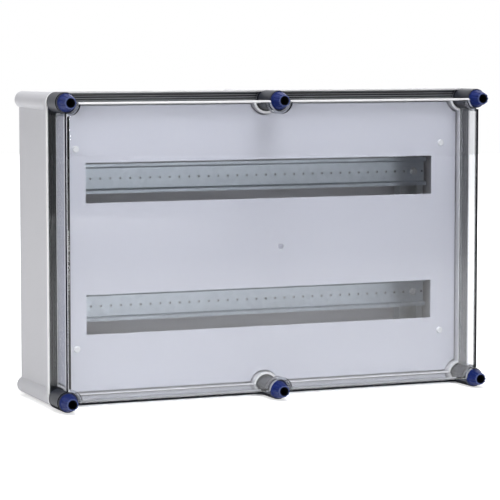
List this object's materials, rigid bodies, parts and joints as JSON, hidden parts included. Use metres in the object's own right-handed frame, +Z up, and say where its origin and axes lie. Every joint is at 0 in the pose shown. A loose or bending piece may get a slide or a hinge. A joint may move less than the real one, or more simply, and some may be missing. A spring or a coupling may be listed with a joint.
{
  "type": "din rail enclosure",
  "caption": "Wall-mounted two-row enclosure: grey moulded base, clear lid with blue turn fasteners, windowed front plate over mounting rails.",
  "frame": {"origin": "under the middle of the box, at the height of its lowest edge", "axes": "+Z up, -Y out of the lid, +X to the right as seen from the front"},
  "size_m": [0.54, 0.176, 0.36],
  "materials": {
    "housing_plastic": "fine satin, light grey",
    "gasket_rubber": "matt black foam rubber",
    "sleeve_brass": "turned",
    "clear_plastic": "clear, polished",
    "dark_plastic": "dark navy",
    "blue_plastic": "satin blue",
    "plate_paint": "satin grey coat",
    "pin_plastic": "pale, glossy",
    "zinc_steel": "bright zinc plated",
    "rail_steel": "galvanised, bluish",
    "upright_steel": "galvanised"
  },
  "bodies": {
    "enclosure": {"base_housing": "housing_plastic", "lid_gasket": "gasket_rubber", "fastener_sleeves": "sleeve_brass", "plate_posts": "zinc_steel", "din_rail_top": "rail_steel", "din_rail_bottom": "rail_steel", "upright_left": "upright_steel", "upright_right": "upright_steel", "rail_screws": "zinc_steel", "slide_nuts": "zinc_steel", "upright_screws": "zinc_steel"},
    "lid_body": {"lid": "clear_plastic", "fastener_collars": "dark_plastic"},
    "plate_body": {"front_plate": "plate_paint"},
    "fastener_top_left_body": {"fastener_top_left": "blue_plastic"},
    "fastener_top_middle_body": {"fastener_top_middle": "blue_plastic"},
    "fastener_top_right_body": {"fastener_top_right": "blue_plastic"},
    "fastener_bottom_left_body": {"fastener_bottom_left": "blue_plastic"},
    "fastener_bottom_middle_body": {"fastener_bottom_middle": "blue_plastic"},
    "fastener_bottom_right_body": {"fastener_bottom_right": "blue_plastic"},
    "plate_pin_top_left_body": {"plate_pin_top_left": "pin_plastic"},
    "plate_pin_top_right_body": {"plate_pin_top_right": "pin_plastic"},
    "plate_pin_bottom_left_body": {"plate_pin_bottom_left": "pin_plastic"},
    "plate_pin_bottom_right_body": {"plate_pin_bottom_right": "pin_plastic"}
  },
  "joints": [
    {"name": "lid_lift_off", "type": "slide", "parent": "enclosure", "child": "lid_body", "axis": [0, -1, 0], "range_m": [0, 0.12]},
    {"name": "plate_pull_out", "type": "slide", "parent": "enclosure", "child": "plate_body", "axis": [0, -1, 0], "range_m": [0, 0.03]},
    {"name": "fastener_top_left_turn", "type": "hinge", "parent": "lid_body", "child": "fastener_top_left_body", "pos_m": [-0.2585, -0.07, 0.3485], "axis": [0, -1, 0], "range_deg": [0, 90]},
    {"name": "fastener_top_middle_turn", "type": "hinge", "parent": "lid_body", "child": "fastener_top_middle_body", "pos_m": [0, -0.07, 0.3485], "axis": [0, -1, 0], "range_deg": [0, 90]},
    {"name": "fastener_top_right_turn", "type": "hinge", "parent": "lid_body", "child": "fastener_top_right_body", "pos_m": [0.2585, -0.07, 0.3485], "axis": [0, -1, 0], "range_deg": [0, 90]},
    {"name": "fastener_bottom_left_turn", "type": "hinge", "parent": "lid_body", "child": "fastener_bottom_left_body", "pos_m": [-0.2585, -0.07, 0.0115], "axis": [0, -1, 0], "range_deg": [0, 90]},
    {"name": "fastener_bottom_middle_turn", "type": "hinge", "parent": "lid_body", "child": "fastener_bottom_middle_body", "pos_m": [0, -0.07, 0.0115], "axis": [0, -1, 0], "range_deg": [0, 90]},
    {"name": "fastener_bottom_right_turn", "type": "hinge", "parent": "lid_body", "child": "fastener_bottom_right_body", "pos_m": [0.2585, -0.07, 0.0115], "axis": [0, -1, 0], "range_deg": [0, 90]},
    {"name": "plate_pin_top_left_turn", "type": "hinge", "parent": "plate_body", "child": "plate_pin_top_left_body", "pos_m": [-0.233, -0.027, 0.2945], "axis": [0, -1, 0], "range_deg": [0, 90]},
    {"name": "plate_pin_top_right_turn", "type": "hinge", "parent": "plate_body", "child": "plate_pin_top_right_body", "pos_m": [0.233, -0.027, 0.2945], "axis": [0, -1, 0], "range_deg": [0, 90]},
    {"name": "plate_pin_bottom_left_turn", "type": "hinge", "parent": "plate_body", "child": "plate_pin_bottom_left_body", "pos_m": [-0.233, -0.027, 0.0655], "axis": [0, -1, 0], "range_deg": [0, 90]},
    {"name": "plate_pin_bottom_right_turn", "type": "hinge", "parent": "plate_body", "child": "plate_pin_bottom_right_body", "pos_m": [0.233, -0.027, 0.0655], "axis": [0, -1, 0], "range_deg": [0, 90]}
  ]
}
